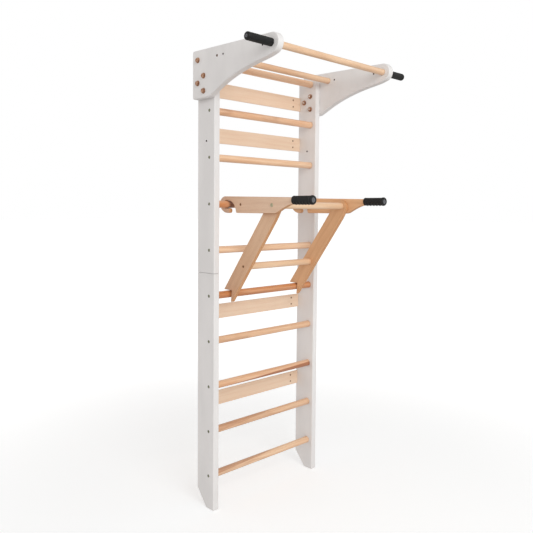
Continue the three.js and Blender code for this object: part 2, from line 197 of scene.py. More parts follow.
class Surface(Nodes):
    """A new material with one principled shader"""

    def __init__(self, name):
        self.material = MATERIALS[name] = bpy.data.materials.new(name)
        super().__init__(self.material, "ShaderNodeOutputMaterial")
        self.shader = self.tree.nodes.new("ShaderNodeBsdfPrincipled")
        self.put(self.output.inputs[0], self.shader.outputs[0])

    def finish(self, color, rough, bumps=(), **extra):
        """Bumps are (height, strength, distance in metres), each laid over the one before"""
        values = {"Base Color": color, "Roughness": rough}
        for height, strength, distance in bumps:
            inputs = {"Height": height, "Strength": strength, "Distance": distance}
            if "Normal" in values:
                inputs["Normal"] = values["Normal"]
            values["Normal"] = self.node("ShaderNodeBump", inputs)
        for key, value in extra.items():
            values[key.replace("_", " ")] = value
        for key, value in values.items():
            self.put(self.shader.inputs[key], value)


def rgb(*color):
    """8-bit display colour to linear"""
    return tuple(c / 255.0 / 12.92 if c / 255.0 <= 0.04045
                 else ((c / 255.0 + 0.055) / 1.055) ** 2.4 for c in color)


# ------------------------------------------------------------------ materials
def seeded(tree, point):
    """Each piece is cut from another place in the plank"""
    seed = tree.prop("seed")
    x, y, z = (tree.times(seed, step) for step in (3.17, 1.71, 2.39))
    offset = tree.node("ShaderNodeCombineXYZ", {0: x, 1: y, 2: z})
    return tree.node("ShaderNodeVectorMath", {0: point, 1: offset}, operation="ADD")


def weighed(tree, ring, fibre, patch):
    """Sum of three (value, share) pairs, from light to dark wood"""
    total = tree.plus(tree.times(*ring), tree.times(*fibre))
    return tree.plus(total, tree.times(*patch), clamp=True)


def white_paint():
    tree = Surface("white_board")
    point = tree.coords()
    grain = tree.noise(point, (900, 900, 22), detail=3.0, rough=0.6)
    peel = tree.noise(point, (420, 420, 420))
    cloud = tree.noise(point, (7, 7, 2.5), detail=3.0, rough=0.55)
    speck = tree.noise(point, (60, 60, 25), detail=4.0, rough=0.6)
    color = tree.mix(rgb(236, 232, 230), rgb(229, 225, 223), tree.ramp(cloud, over=(0.35, 0.68)))
    color = tree.mix(color, rgb(216, 213, 210), tree.ramp(speck, over=(0.55, 0.8)), share=0.14)
    # bare board inside the drilled holes, darkened as painted shade
    bare_wood_and_shade = tree.mix(rgb(96, 72, 56), rgb(64, 46, 36), tree.ramp(grain, over=(0.3, 0.7)))
    color = tree.mix(color, bare_wood_and_shade, tree.marked())
    rough = tree.plus(tree.times(cloud, 0.10), tree.line(grain, times=0.10, plus=0.36))
    tree.finish(color, rough, [(grain, 0.35, 0.00012), (peel, 0.25, 0.00010)],
                Coat_Weight=0.12, Coat_Roughness=0.35)


def heartwood(tree, wobble, fibre):
    """A wedge of darker wood along part of the bar"""
    up = tree.split(tree.coords("Normal"))[2]
    edge = tree.line(tree.split(tree.coords())[0],
                     times=tree.prop("heart_slope"), plus=tree.prop("heart_from"))
    heart = tree.minus(tree.times(up, tree.prop("heart_side")), edge)
    ragged = tree.plus(heart, tree.times(tree.minus(wobble, 0.5), 0.6))
    heart = tree.ramp(ragged, over=(-0.06, 0.10))
    return tree.times(heart, tree.line(tree.ramp(fibre, over=(0.3, 0.7)), times=-0.3, plus=1.0))


def turned_beech(name, light, dark, warm):
    tree = Surface(name)
    point = seeded(tree, tree.coords())
    wobble = tree.noise(point, (2.2, 14, 14))
    # growth rings: slanted bands through the bar, bent by the wobble
    x, y, z = tree.split(point)
    across = tree.plus(tree.times(y, 0.82), tree.times(z, 0.57))
    ring = tree.line(across, times=190.0, plus=tree.times(wobble, 5.0))
    ring = tree.line(x, times=2.2, plus=ring)
    ring = tree.ramp(tree.calc("SINE", tree.times(ring, 3.0)), over=(-0.9, 1.0))
    fibre = tree.noise(point, (9, 620, 620), detail=4.0, rough=0.62)
    fine = tree.noise(point, (40, 1500, 1500))
    patch = tree.noise(point, (5.0, 38, 38))
    fleck = tree.fleck(point, (130, 2100, 1300), over=(0.66, 0.74))
    heart = heartwood(tree, wobble, fibre)
    color = tree.mix(light, dark, weighed(
        tree, ring=(ring, 0.34), fibre=(tree.ramp(fibre, over=(0.3, 0.72)), 0.34),
        patch=(tree.ramp(patch, over=(0.35, 0.7)), 0.30)))
    patchy = tree.line(tree.ramp(patch, over=(0.3, 0.7)), times=0.5, plus=0.5)
    color = tree.mix(color, warm, tree.times(tree.prop("tone"), patchy, clamp=True))
    band = tree.ramp(tree.size(tree.minus(wobble, 0.5)), over=(0.0, 0.07), to=(1.0, 0.0))
    color = tree.mix(color, rgb(150, 92, 58), band, share=tree.prop("streak"))
    color = tree.mix(color, rgb(146, 96, 62), fleck, share=0.34)
    # painted light brightens the rungs and bars that lie in shade
    color = tree.tint(color, tree.prop("lift"), by=(1.14, 1.16, 1.20))
    color = tree.mix(color, rgb(166, 98, 60), heart, share=tree.prop("heart"))
    # painted shadow where the arms and struts of the dip station meet the rungs
    aside = tree.size(tree.split(tree.coords())[0])
    shadow_band = tree.times(tree.ramp(aside, over=(0.194, 0.208)),
                     tree.ramp(aside, over=(0.222, 0.240), to=(1.0, 0.0)))
    color = tree.mix(color, rgb(112, 62, 30), shadow_band, share=tree.prop("painted_shadow"))
    pores = tree.minus(fine, tree.times(fleck, 1.2))
    tree.finish(color, tree.line(fibre, times=0.16, plus=0.34),
                [(fibre, 0.30, 0.00010), (pores, 0.22, 0.00006)],
                Coat_Weight=0.22, Coat_Roughness=0.28)


def pale_slat():
    tree = Surface("pale_slat")
    point = seeded(tree, tree.coords())
    z = tree.split(point)[2]
    wobble = tree.noise(point, (1.6, 3, 9))
    ring = tree.calc("SINE", tree.plus(tree.times(z, 260.0), tree.times(wobble, 16.0)))
    fibre = tree.noise(point, (7, 120, 560), detail=4.0, rough=0.6)
    patch = tree.noise(point, (3.2, 6, 16), detail=3.0)
    color = tree.mix(rgb(250, 225, 200), rgb(239, 203, 172), weighed(
        tree, ring=(tree.ramp(ring, over=(-0.6, 1.0)), 0.16),
        fibre=(tree.ramp(fibre, over=(0.3, 0.75)), 0.50),
        patch=(tree.ramp(patch, over=(0.35, 0.7)), 0.30)))
    # tone darkens the whole slat evenly
    color = tree.tint(color, tree.prop("tone"), by=(0.87, 0.86, 0.85))
    fleck = tree.fleck(point, (110, 900, 1500), over=(0.67, 0.75))
    color = tree.mix(color, rgb(190, 140, 100), fleck, share=0.28)
    tree.finish(color, tree.line(fibre, times=0.16, plus=0.40), [(fibre, 0.30, 0.00010)],
                Coat_Weight=0.12, Coat_Roughness=0.35)


def veneer(tree, point, fibre):
    """The colour of the plywood's flat faces"""
    z = tree.split(point)[2]
    wobble = tree.noise(point, (6, 2.0, 7))
    ring = tree.calc("SINE", tree.plus(tree.times(z, 240.0), tree.times(wobble, 20.0)))
    patch = tree.noise(point, (5, 4.0, 14), detail=3.0)
    face = tree.mix(rgb(238, 204, 176), rgb(216, 174, 142), weighed(
        tree, ring=(tree.ramp(ring, over=(-0.6, 1.0)), 0.18),
        fibre=(tree.ramp(fibre, over=(0.3, 0.72)), 0.48),
        patch=(tree.ramp(patch, over=(0.35, 0.7)), 0.26)))
    # tone warms and darkens the face; on the right-hand panels it is painted shade of light
    # bounced between the panels
    face = tree.tint(face, tree.prop("tone"), by=(1.05, 0.88, 0.64))
    face = tree.tint(face, tree.prop("streak"), by=(0.78, 0.755, 0.72))
    fleck = tree.fleck(point, (200, 130, 1700), over=(0.65, 0.73))
    return tree.mix(face, rgb(152, 104, 70), fleck, share=0.38)


def plywood(name, lean, inner):
    """Veneered faces with the grain along the piece, and a layered edge"""
    tree = Surface(name)
    place = tree.coords()
    point = seeded(tree, tree.map(place, turn=(lean, 0, 0)))
    fibre = tree.noise(point, (60, 8, 560), detail=4.0, rough=0.62)
    face = veneer(tree, point, fibre)
    # layers across the thickness
    x = tree.split(place)[0]
    depth = tree.times(tree.minus(tree.size(x), inner / 1000.0), 1000.0 / ARM_T)
    ragged = tree.noise(place, (20, 160, 160))
    layer = tree.line(tree.minus(ragged, 0.5), times=0.06, plus=tree.times(depth, 6.5))
    layer = tree.calc("PINGPONG", layer, 0.5)
    end_grain = tree.ramp(layer, over=(0.22, 0.28))
    pores = tree.noise(place, (2600, 900, 900), detail=3.0, rough=0.6)
    long_ply = tree.mix(rgb(236, 186, 136), rgb(216, 160, 110),
                        tree.ramp(fibre, over=(0.3, 0.75)))
    end_ply = tree.mix(rgb(206, 142, 92), rgb(176, 114, 70), tree.ramp(pores, over=(0.3, 0.7)))
    edge = tree.mix(long_ply, end_ply, end_grain)
    glue = tree.ramp(tree.size(tree.minus(layer, 0.25)), over=(0.0, 0.035), to=(1.0, 0.0))
    edge = tree.mix(edge, rgb(120, 74, 44), glue, share=0.45)
    facing = tree.split(tree.coords("Normal"))[0]
    is_face = tree.ramp(tree.size(facing), over=(0.80, 0.97))
    color = tree.mix(edge, face, is_face)
    # the marked wall of the hook pocket is painted dark brown, as shade
    pocket_shade = tree.mix(rgb(140, 86, 48), rgb(104, 62, 34), tree.ramp(fibre, over=(0.3, 0.75)))
    color = tree.mix(color, pocket_shade, tree.marked(), share=0.8)
    sunk = tree.times(tree.minus(1.0, is_face), tree.times(end_grain, -0.5))
    tree.finish(color, tree.line(fibre, times=0.16, plus=0.40),
                [(tree.plus(fibre, sunk), 0.30, 0.00012)], Coat_Weight=0.12, Coat_Roughness=0.32)


def rubber():
    tree = Surface("grip_rubber")
    point = tree.coords()
    pip = tree.noise(point, (1500, 1500, 1500), detail=3.0, rough=0.6)
    cloud = tree.noise(point, (45, 45, 45), detail=3.0, rough=0.6)
    color = tree.mix(rgb(16, 16, 16), rgb(25, 25, 25), tree.ramp(cloud, over=(0.3, 0.7)))
    color = tree.mix(color, rgb(48, 47, 47), tree.ramp(pip, over=(0.6, 0.8)), share=0.35)
    # the marked end centre of each grip is a painted highlight in light grey
    color = tree.mix(color, rgb(104, 104, 108), tree.marked())
    tree.finish(color, tree.line(cloud, times=0.18, plus=0.42), [(pip, 0.35, 0.00008)],
                Specular_IOR_Level=0.30, Sheen_Weight=0.02, Sheen_Roughness=0.5)


def metal(name, base, worn, rough, metallic, scale=160.0, bare=None):
    """Marked faces show the bare colour, where one is given"""
    tree = Surface(name)
    point = tree.coords()
    cloud = tree.noise(point, (scale, scale, scale), detail=4.0, rough=0.6)
    fine = tree.noise(point, (2600, 2600, 2600), rough=0.6)
    turning = tree.noise(point, (300, 2400, 2400))
    color = tree.mix(base, worn, tree.ramp(cloud, over=(0.35, 0.7)))
    if bare:
        bright = tree.mix(bare, rgb(226, 218, 212), tree.ramp(cloud, over=(0.3, 0.7)))
        color = tree.mix(color, bright, tree.marked())
    tree.finish(color, tree.line(cloud, times=0.25, plus=rough),
                [(fine, 0.25, 0.00004), (turning, 0.15, 0.00004)], Metallic=metallic)


white_paint()
for name, light, dark, warm in (
        ("beech_rung", (243, 208, 174), (225, 175, 134), (212, 138, 84)),
        ("beech_bar", (242, 208, 174), (226, 180, 140), (206, 140, 92)),
        ("beech_cross_bar", (244, 210, 176), (228, 184, 144), (206, 140, 92)),
        ("beech_dowel", (240, 206, 168), (222, 176, 134), (206, 140, 92))):
    turned_beech(name, rgb(*light), rgb(*dark), rgb(*warm))
pale_slat()
plywood("plywood_arm", lean=0.0, inner=ARM_X)
plywood("plywood_strut", lean=math.pi / 2 - LEAN, inner=STRUT_X)
rubber()
metal("bronzed_bolt", base=rgb(158, 112, 84), worn=rgb(204, 166, 140), rough=0.30,
      metallic=0.80, scale=120.0, bare=rgb(204, 190, 182))
metal("steel_screw", base=rgb(176, 176, 172), worn=rgb(206, 206, 202), rough=0.25, metallic=0.95)
metal("zinc_screw", base=rgb(128, 130, 104), worn=rgb(172, 172, 146), rough=0.32, metallic=0.85)
metal("pivot_bolt", base=rgb(176, 170, 138), worn=rgb(208, 202, 174), rough=0.42, metallic=0.75)
metal("dark_screw", base=rgb(120, 86, 62), worn=rgb(160, 124, 96), rough=0.38, metallic=0.7)


# ------------------------------------------------------------------ objects
def build(name, shape, material, sharp=38.0, weighted=False):
    """Makes an object of a shape: its points and its faces"""
    points, faces = shape
    mesh = bpy.data.meshes.new(name)
    mesh.from_pydata([(x / 1000.0, (y + WALL_Y) / 1000.0, z / 1000.0) for x, y, z in points],
                     [], faces)
    mesh.validate()
    ob = bpy.data.objects.new(name, mesh)
    bpy.context.scene.collection.objects.link(ob)
    mesh.materials.append(MATERIALS[material])
    smooth(ob, sharp, weighted)
    return ob


def smooth(ob, sharp=38.0, weighted=False):
    mesh = ob.data
    mesh.polygons.foreach_set("use_smooth", [True] * len(mesh.polygons))
    mesh.set_sharp_from_angle(angle=math.radians(sharp))
    if weighted:
        modifier = ob.modifiers.new("weighted", "WEIGHTED_NORMAL")
        modifier.mode = "FACE_AREA"
        modifier.keep_sharp = True
        modifier.weight = 60
    mesh.update()


@contextmanager
def editing(ob):
    mesh = bmesh.new()
    mesh.from_mesh(ob.data)
    yield mesh
    mesh.to_mesh(ob.data)
    mesh.free()


def cut(ob, cutters):
    """Takes the cutters away from the object"""
    ob.modifiers.clear()
    group = bpy.data.collections.new("cut")
    bpy.context.scene.collection.children.link(group)
    for cutter in cutters:
        group.objects.link(cutter)
    modifier = ob.modifiers.new("cut", "BOOLEAN")
    modifier.operation = "DIFFERENCE"
    modifier.solver = "EXACT"
    modifier.operand_type = "COLLECTION"
    modifier.collection = group
    bpy.context.view_layer.update()
    depsgraph = bpy.context.evaluated_depsgraph_get()
    mesh = bpy.data.meshes.new_from_object(ob.evaluated_get(depsgraph), depsgraph=depsgraph)
    old = ob.data
    ob.modifiers.clear()
    ob.data = mesh
    bpy.data.meshes.remove(old)
    for cutter in cutters:
        bpy.data.objects.remove(cutter)
    bpy.data.collections.remove(group)
    smallest = 0.00001
    with editing(ob) as mesh:
        bmesh.ops.remove_doubles(mesh, verts=mesh.verts, dist=smallest)
        bmesh.ops.dissolve_degenerate(mesh, edges=mesh.edges, dist=smallest)
        bmesh.ops.recalc_face_normals(mesh, faces=mesh.faces)
    smooth(ob, weighted=True)


# custom properties that the wood materials read
PLAIN_LOOK = dict(
    seed=0.0,           # place in the plank
    tone=0.0,           # warmer wood; on the right-hand panels, painted bounce shade; on the slats, an even darkening
    streak=0.0,         # dark streaks; on the struts, an even darkening
    lift=0.0,           # painted light, brightening rungs and bars that lie in shade
    painted_shadow=0.0,         # painted shadow beside the dip station's arms and struts
    heart=0.0,          # strength of the heartwood
    heart_side=1.0,     # 1 above, -1 below
    heart_from=9.0,     # where it starts across the bar
    heart_slope=0.0)    # how fast it widens along the bar


def register(ob, body, slot, **look):
    """A piece named x_look takes the place of the CAD piece x"""
    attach(ob, body)
    node = ob.name.removesuffix("_look")
    if node != ob.name:
        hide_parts(node)
    for key, value in {**PLAIN_LOOK, **look}.items():
        ob[key] = float(value)


def mark(ob, test):
    """Marks faces for the materials: drilled holes, darkened as painted shade, bare metal, the
    hook pocket's painted shade and the grip ends' painted highlights
    """
    values = ob.data.attributes.new("mark", "FLOAT", "FACE").data
    for face in ob.data.polygons:
        x, y, z = face.center
        values[face.index].value = float(test(x * 1000.0, y * 1000.0 - WALL_Y, z * 1000.0))


def in_bore(bore_y, bore_z, radius, near, far=math.inf):
    """A test for points in a bore along X, on either side"""
    return lambda x, y, z: near < abs(x) < far and math.hypot(y - bore_y, z - bore_z) < radius


# ------------------------------------------------------------------ outlines
def arc(y, z, radius, start, end, steps):
    angles = [math.radians(start + (end - start) * i / steps) for i in range(steps + 1)]
    return [(y + radius * math.cos(a), z + radius * math.sin(a)) for a in angles]


def curve(points):
    """A smooth curve through the points, in steps of about 2.5 mm"""
    points = [Vector(p) for p in points]
    out = []
    for i in range(len(points) - 1):
        start, end = points[i], points[i + 1]
        before = points[i - 1] if i > 0 else start * 2 - end
        after = points[i + 2] if i + 2 < len(points) else end * 2 - start
        steps = max(2, int((end - start).length / 2.5))
        for k in range(steps):
            t = k / steps
            out.append(tuple(0.5 * (
                (2 * start) + (end - before) * t
                + (2 * before - 5 * start + 4 * end - after) * t * t
                + (3 * start - before - 3 * end + after) * t ** 3)))
    return out + [tuple(points[-1])]


def outline(*runs):
    """Joins runs of points, without doubled points, into a counterclockwise outline"""
    def apart(first, second):
        return abs(first[0] - second[0]) + abs(first[1] - second[1])

    clean = []
    for point in (p for run in runs for p in run):
        if not clean or apart(point, clean[-1]) > 0.05:
            clean.append(point)
    if apart(clean[0], clean[-1]) < 0.05:
        clean.pop()
    area = sum(a[0] * b[1] - b[0] * a[1] for a, b in zip(clean, clean[1:] + clean[:1]))
    return clean if area > 0 else clean[::-1]


def corner_at(points, i):
    """The directions into and out of a point, and the turn between them"""
    here = Vector(points[i])
    before = (here - Vector(points[i - 1])).normalized()
    after = (Vector(points[(i + 1) % len(points)]) - here).normalized()
    turn = math.atan2(before.x * after.y - before.y * after.x, before.dot(after))
    return before, after, turn


def step_lengths(points):
    return [(Vector(b) - Vector(a)).length for a, b in zip(points, points[1:] + points[:1])]


def value_at(radius, point):
    return radius(point) if callable(radius) else radius


def rounded(points, radius, seg=6, min_turn=24.0):
    """Rounds the outline's sharp corners"""
    out = []
    steps = step_lengths(points)
    for i, point in enumerate(points):
        before, _, turn = corner_at(points, i)
        if abs(turn) < math.radians(min_turn):
            out.append(point)
            continue
        slope = math.tan(abs(turn) / 2)
        trim = min(value_at(radius, point) * slope, 0.48 * steps[i - 1], 0.48 * steps[i])
        start = Vector(point) - before * trim
        centre = start + Vector((-before.y, before.x)) * math.copysign(trim / slope, turn)
        spoke = start - centre
        for k in range(seg + 1):
            cos, sin = math.cos(turn * k / seg), math.sin(turn * k / seg)
            out.append(tuple(centre + Vector((spoke.x * cos - spoke.y * sin,
                                              spoke.x * sin + spoke.y * cos))))
    return out


# ------------------------------------------------------------------ flat pieces
def along_x(u, v, w):
    """Outline in (Y, Z), thickness along X"""
    return (w, u, v)


def along_y(u, v, w):
    """Outline in (X, Z), thickness towards -Y"""
    return (u, -w, v)


def along_z(u, v, w):
    """Outline in (X, Y), length along Z"""
    return (u, v, w)


def flip_x(shape):
    return [(-x, y, z) for x, y, z in shape[0]], [tuple(face[::-1]) for face in shape[1]]


def on_side(side, shape):
    """Shapes are drawn for the right-hand side"""
    return flip_x(shape) if side == "left" else shape


def add_ring(points, ring):
    points.extend(ring)
    return list(range(len(points) - len(ring), len(points)))


def quads(first, second):
    return list(zip(first, first[1:] + first[:1], second[1:] + second[:1], second))


def inside(point, ring):
    odd = False
    for (ax, ay), (bx, by) in zip(ring, ring[1:] + ring[:1]):
        if (ay > point[1]) != (by > point[1]):
            if point[0] < ax + (bx - ax) * (point[1] - ay) / (by - ay):
                odd = not odd
    return odd


def edge_radii(points, radius):
    """A rolled edge is never wider than a tight corner allows, and changes gradually"""
    count = len(points)
    radii = [value_at(radius, p) for p in points]
    steps = step_lengths(points)
    for i in range(count):
        turn = corner_at(points, i)[2]
        if turn > 0.02:
            radii[i] = min(radii[i], 0.8 * 0.5 * (steps[i - 1] + steps[i]) / turn)
    for _ in range(2):
        for i in (*range(count), *reversed(range(count))):
            radii[i] = min(radii[i], radii[i - 1] + 0.5 * steps[i - 1],
                           radii[(i + 1) % count] + 0.5 * steps[i])
    return radii


def drilled_cap(points, rings, high):
    """Faces between the outline, the first ring, and the holes, the other rings"""
    ids = [i for ring in rings for i in ring]
    outlines = [[points[i][:2] for i in ring] for ring in rings]
    edges = []
    for ring in rings:
        start, count = len(edges), len(ring)
        edges += [(start + i, start + (i + 1) % count) for i in range(count)]
    flat, _, triangles, origins, _, _ = delaunay_2d_cdt(
        [Vector(points[i][:2]) for i in ids], edges, [], 0, 1e-6, True)
    faces = []
    for triangle in triangles:
        centre = sum((flat[i] for i in triangle), Vector((0, 0))) / len(triangle)
        if not inside(centre, outlines[0]) or any(inside(centre, o) for o in outlines[1:]):
            continue
        face = [ids[origins[i][0]] for i in triangle]
        a, b, c = (Vector(points[i][:2]) for i in face[:3])
        if ((b - a).cross(c - a) > 0) != high:
            face.reverse()
        faces.append(tuple(face))
    return faces


def plate(name, drawn, low, high, material, radius=3.0, seg=5, holes=(), place=along_x,
          side="right"):
    """A flat piece with rolled edges between two heights.

    Holes: (u, v, [(height, radius), ...]) with the heights running from high to low.
    """
    radii = edge_radii(drawn, radius)
    insets = []
    for i in range(len(drawn)):
        before, after, _ = corner_at(drawn, i)
        along = before + after
        insets.append(Vector((-along.y, along.x)) / max(1 + before.dot(after), 0.35))
    points, faces, rings = [], [], []
    for upper in (False, True):
        for k in range(seg + 1):
            angle = math.radians(90.0 * (seg - k if upper else k) / seg)
            ring = []
            for (u, v), inset, r in zip(drawn, insets, radii):
                shift, drop = r * (1 - math.sin(angle)), r * (1 - math.cos(angle))
                ring.append((u + inset.x * shift, v + inset.y * shift,
                             high - drop if upper else low + drop))
            rings.append(add_ring(points, ring))
    for lower_ring, upper_ring in zip(rings[:-1], rings[1:]):
        faces += quads(lower_ring, upper_ring)
    low_rings, high_rings = [rings[0]], [rings[-1]]
    for u, v, profile in holes:
        count = 40 if max(r for _, r in profile) > 8 else 24
        angles = [2 * math.pi * i / count for i in range(count)]
        bore = [add_ring(points, [(u + r * math.cos(a), v + r * math.sin(a), w) for a in angles])
                for w, r in profile]
        for upper_ring, lower_ring in zip(bore[:-1], bore[1:]):
            faces += quads(upper_ring, lower_ring)
        high_rings.append(bore[0])
        low_rings.append(bore[-1])
    if holes:
        faces += drilled_cap(points, low_rings, False) + drilled_cap(points, high_rings, True)
    else:
        faces += [tuple(rings[0][::-1]), tuple(rings[-1])]
    shape = [place(*p) for p in points], faces
    return build(name, on_side(side, shape), material, weighted=True)


# ------------------------------------------------------------------ turned pieces
def lathe(profile, centre, axis="X", direction=1, seg=64, radius=None):
    """A turned solid along X, or along Y towards -Y.

    Profile: (along, radius) from start to end. A radius function (along, radius, angle)
    may shape each ring.
    """
    def at(along, r, angle):
        cos, sin = r * math.cos(angle), r * math.sin(angle)
        if axis == "X":
            return (centre[0] + direction * along, centre[1] + cos, centre[2] + sin)
        return (centre[0] + cos, centre[1] + direction * along, centre[2] + sin)

    points, faces, rings = [], [], []
    angles = [2 * math.pi * i / seg for i in range(seg)]
    for s, r in profile:
        if r < 1e-6:
            ring = [at(s, 0, 0)]
        else:
            ring = [at(s, radius(s, r, a) if radius else r, a) for a in angles]
        rings.append(add_ring(points, ring))
    for a, b in zip(rings[:-1], rings[1:]):
        for i in range(seg):
            j = (i + 1) % seg
            if len(a) == 1:
                faces.append((a[0], b[i], b[j]))
            elif len(b) == 1:
                faces.append((a[i], b[0], a[j]))
            else:
                faces.append((a[i], b[i], b[j], a[j]))
    if axis == "Y" or direction > 0:
        faces = [face[::-1] for face in faces]
    return points, faces


def plug(length, radius):
    """The profile of a plain cylinder"""
    return [(0, 0), (0, radius), (length, radius), (length, 0)]


def hexagon(width, angle):
    """Distance from the axis to a hexagon's side; width is across the flats"""
    angle = (angle + math.pi / 6) % (math.pi / 3) - math.pi / 6
    return width / 2 / math.cos(angle)


def hex_ring(along, width, scale=1.0):
    return lambda angle: (along, hexagon(width, angle) * scale)


def stacked(rings, centre, seg, forward=True, capped=True):
    """Rings stacked along X, towards +X if forward.

    Each ring is (along, radius) or a function of the angle that gives them.
    """
    points, faces, made = [], [], []
    for ring in rings:
        placed = []
        for i in range(seg):
            angle = 2 * math.pi * i / seg
            s, r = value_at(ring, angle)
            placed.append((centre[0] + s, centre[1] + r * math.cos(angle),
                           centre[2] + r * math.sin(angle)))
        made.append(add_ring(points, placed))
    for first, second in zip(made[:-1], made[1:]):
        faces += quads(first, second)
    if not forward:
        faces = [(b, a, d, c) for a, b, c, d in faces]
    if capped:
        ends = (made[0][::-1], made[-1]) if forward else (made[0], made[-1][::-1])
        faces += [tuple(end) for end in ends]
    return points, faces


def merged(*shapes):
    points, faces = [], []
    for more_points, more_faces in shapes:
        start = len(points)
        points += more_points
        faces += [tuple(i + start for i in face) for face in more_faces]
    return points, faces


def screw(x, y, z, head, depth, length, shank, proud=0.0):
    """Countersunk screw pointing towards -X from its head at x; hexagon socket in the head"""
    socket = head * 0.92
    return stacked([
        hex_ring(proud - depth * 0.62, socket, 0.98), hex_ring(proud - 0.25, socket),
        hex_ring(proud - 0.05, socket, 1.06),
        (proud, head * 0.80), (proud - 0.10, head * 0.95), (proud - 0.35, head),
        (proud - depth, shank * 1.05), (proud - depth - 1.0, shank),
        (proud - length + 2, shank), (proud - length, 0.4)], (x, y, z), 36, forward=False)


# ------------------------------------------------------------------ uprights
def slat_cutter(bottom, top):
    """The notch for the end of a wall slat"""
    x0, x1 = UPRIGHT_IN - 5, UPRIGHT_IN + 12.3
    y0, y1 = -SLAT_T - 0.3, 5
    points = [(x, y, z) for z in (bottom - 0.3, top + 0.3)
              for x, y in ((x0, y0), (x1, y0), (x1, y1), (x0, y1))]
    return points, [(0, 3, 2, 1), (4, 5, 6, 7), (0, 1, 5, 4), (1, 2, 6, 5), (2, 3, 7, 6),
                    (3, 0, 4, 7)]


def foot_cutter():
    """The wedge under the sloping cut behind the foot"""
    back = 40.0
    drawn = [(FOOT_CUT_Y, 0.0), (FOOT_CUT_Y, -30.0), (back, -30.0),
             (back, (back - FOOT_CUT_Y) * FOOT_CUT_SLOPE)]
    points = [(x, y, z) for x in (UPRIGHT_IN - 9, UPRIGHT_OUT + 9) for y, z in drawn]
    return points, [(3, 2, 1, 0), (4, 5, 6, 7), (3, 7, 4, 0), (4, 5, 1, 0), (5, 6, 2, 1),
                    (6, 7, 3, 2)]


def upright_cutters(half, bottom, top):
    start = UPRIGHT_IN - 5
    wide, fit = RUNG_R + 1.0, RUNG_R + 0.4
    end = 5 + RUNG_POCKET
    pocket = [(0, 0), (0, wide), (5, wide), (5.6, fit), (end, fit), (end, 0)]
    seat = [(0, 0), (0, 7.4), (4, 7.4), (4.7, 6.6), (7.6, 6.6), (7.6, 0)]
    cutters = []
    for z in map(rung_z, range(1, 11)):
        if bottom < z < top:
            cutters.append(lathe(pocket, (start, RUNG_Y, z)))
            # seat of the rung screw on the outer face
            cutters.append(lathe(seat, (UPRIGHT_OUT + 4, RUNG_Y, z), direction=-1, seg=32))
    cutters += [slat_cutter(*slat) for slat in SLATS if bottom < slat[0] < top]
    for bore_y in JOINT_BORES_Y:
        points, faces = lathe(plug(61, 6.3), (0, 0, 0), seg=24)
        middle = (UPRIGHT_IN + UPRIGHT_OUT) / 2
        cutters.append(([(middle + y, bore_y + z, SPLIT - 30.5 + x) for x, y, z in points],
                        faces))
    if half == "upper":
        cutters += [lathe(plug(40, BOLT_BORE_R), (start, y, z), seg=24) for y, z in BOLTS]
        cutters.append(lathe(
            [(0, 0), (0, 4.5), (5, 4.5), (5.7, 3.8), (34.3, 3.8), (35, 4.5), (40, 4.5), (40, 0)],
            (start, *SIDE_HOLE), seg=28))
    else:
        cutters.append(foot_cutter())
    return cutters


def upright(side, half):
    ends = {"lower": (0.0, SPLIT - SPLIT_GAP / 2), "upper": (SPLIT + SPLIT_GAP / 2, HEIGHT)}
    bottom, top = ends[half]
    section = rounded([(UPRIGHT_IN, -DEPTH), (UPRIGHT_OUT, -DEPTH), (UPRIGHT_OUT, 0),
                       (UPRIGHT_IN, 0)], lambda p: 4.0 if p[1] < -50 else 1.6, 8)
    ob = plate(f"{side}_upright_{half}_look", section, bottom, top, "white_board",
               radius=0.6, seg=2, place=along_z)
    cutters = [build("cutter", shape, "white_board")
               for shape in upright_cutters(half, bottom, top)]
    for cutter in cutters:
        with editing(cutter) as mesh:
            bmesh.ops.recalc_face_normals(mesh, faces=mesh.faces)
    cut(ob, cutters)
    if side == "left":
        with editing(ob) as mesh:
            for vert in mesh.verts:
                vert.co.x = -vert.co.x
            bmesh.ops.reverse_faces(mesh, faces=mesh.faces)
        smooth(ob)
    # the marked bore walls show bare board darkened as painted shade
    bores = [in_bore(RUNG_Y, rung_z(i), 6.9, UPRIGHT_OUT - 4.5, UPRIGHT_OUT - 0.2)
             for i in range(1, 11)]
    bores.append(in_bore(*SIDE_HOLE, 4.8, UPRIGHT_IN + 0.1, UPRIGHT_OUT - 0.1))
    mark(ob, lambda *point: any(bore(*point) for bore in bores))
    register(ob, LADDER, "white_board")


for side, _ in SIDES:
    for half in ("lower", "upper"):
        upright(side, half)


# ------------------------------------------------------------------ rungs and bars
def bar(node, half, radius, y, z, material, body, seed, **look):
    """A round bar along X with chamfered ends"""
    phase = random.Random(int(seed * 1000) + 7).uniform(0, 6.28)
    chamfer, steps = 1.2, 42
    end = [(0, radius - chamfer), (chamfer * 0.3, radius - chamfer * 0.35), (chamfer, radius)]
    profile = [(0, 0), *end]
    profile += [(chamfer + (2 * half - 2 * chamfer) * i / steps, radius) for i in range(1, steps)]
    profile += [(2 * half - s, r) for s, r in reversed(end)] + [(2 * half, 0)]

    def uneven(s, r, angle):
        # a turned and hand-sanded bar is never perfectly round or even
        if r < radius - 0.01:
            return r
        return (r - 0.10 + 0.05 * math.sin(2 * angle + phase)
                + 0.05 * math.sin(s * 0.021 + phase * 2))

    ob = build(node + "_look", lathe(profile, (-half, y, z), seg=72, radius=uneven), material)
    register(ob, body, material, seed=seed, **look)


